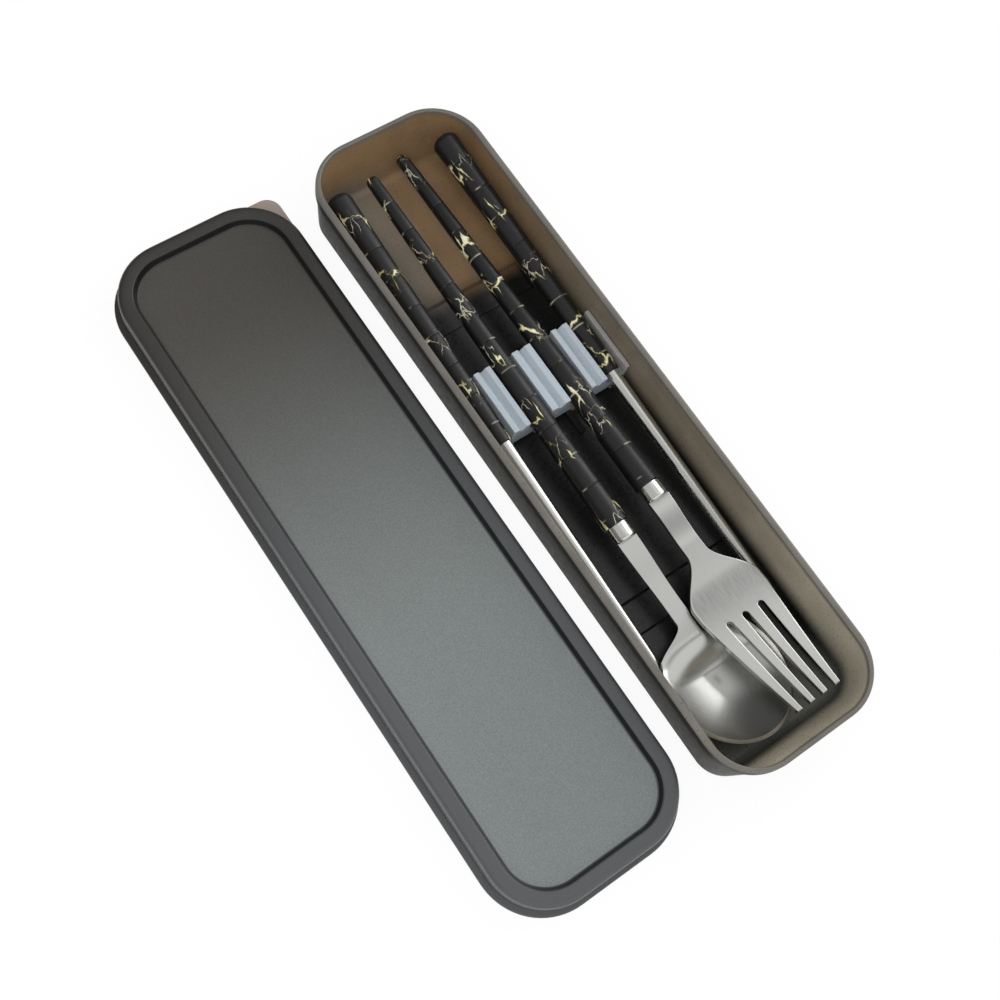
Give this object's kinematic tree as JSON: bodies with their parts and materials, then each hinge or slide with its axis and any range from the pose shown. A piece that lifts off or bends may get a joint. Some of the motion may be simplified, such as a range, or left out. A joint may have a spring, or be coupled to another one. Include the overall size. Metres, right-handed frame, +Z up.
{
  "type": "portable chopstick case",
  "caption": "Open travel case for table cutlery: drafted tray with a slotted clip that grips steel-tipped chopsticks, a spoon and a fork, and a loose press-on lid beside it.",
  "frame": {"origin": "under the middle of the whole set's box, on the table that the tray's feet and the lid's flange stand on", "axes": "+X across the case towards the side away from the lid, +Y along the case towards the handles' free ends, +Z up"},
  "size_m": [0.1272, 0.2364, 0.0238],
  "materials": {
    "smoky_plastic": "satin translucent polypropylene, smoke brown",
    "frosted_lid": "fine frosted translucent polypropylene, dark grey",
    "clip_grey": "satin translucent plastic, pale blue grey",
    "black_handle": "satin black plastic with printed gold veins",
    "polished_steel": "polished stainless steel",
    "satin_steel": "satin stainless steel"
  },
  "bodies": {
    "tray": {"tray": "smoky_plastic", "clip_insert": "clip_grey"},
    "lid": {"lid": "frosted_lid"},
    "left_chopstick": {"left_chopstick_handle": "black_handle", "left_chopstick_shaft": "polished_steel"},
    "right_chopstick": {"right_chopstick_handle": "black_handle", "right_chopstick_shaft": "polished_steel"},
    "spoon": {"spoon_handle": "black_handle", "spoon_collar": "polished_steel", "spoon_bowl": "satin_steel"},
    "fork": {"fork_handle": "black_handle", "fork_collar": "polished_steel", "fork_head": "satin_steel"}
  },
  "joints": [
    {"name": "lid_lift", "type": "slide", "parent": "tray", "child": "lid", "axis": [0, 0, 1], "range_m": [0, 0.06]},
    {"name": "left_chopstick_lift", "type": "slide", "parent": "tray", "child": "left_chopstick", "axis": [0, 0, 1], "range_m": [0, 0.06]},
    {"name": "right_chopstick_lift", "type": "slide", "parent": "tray", "child": "right_chopstick", "axis": [0, 0, 1], "range_m": [0, 0.06]},
    {"name": "spoon_lift", "type": "slide", "parent": "left_chopstick", "child": "spoon", "axis": [0, 0, 1], "range_m": [0, 0.06]},
    {"name": "fork_lift", "type": "slide", "parent": "spoon", "child": "fork", "axis": [0, 0, 1], "range_m": [0, 0.06]}
  ],
  "couplings": [
    {"joint": "right_chopstick_lift", "follows": "left_chopstick_lift", "ratio": 1}
  ]
}
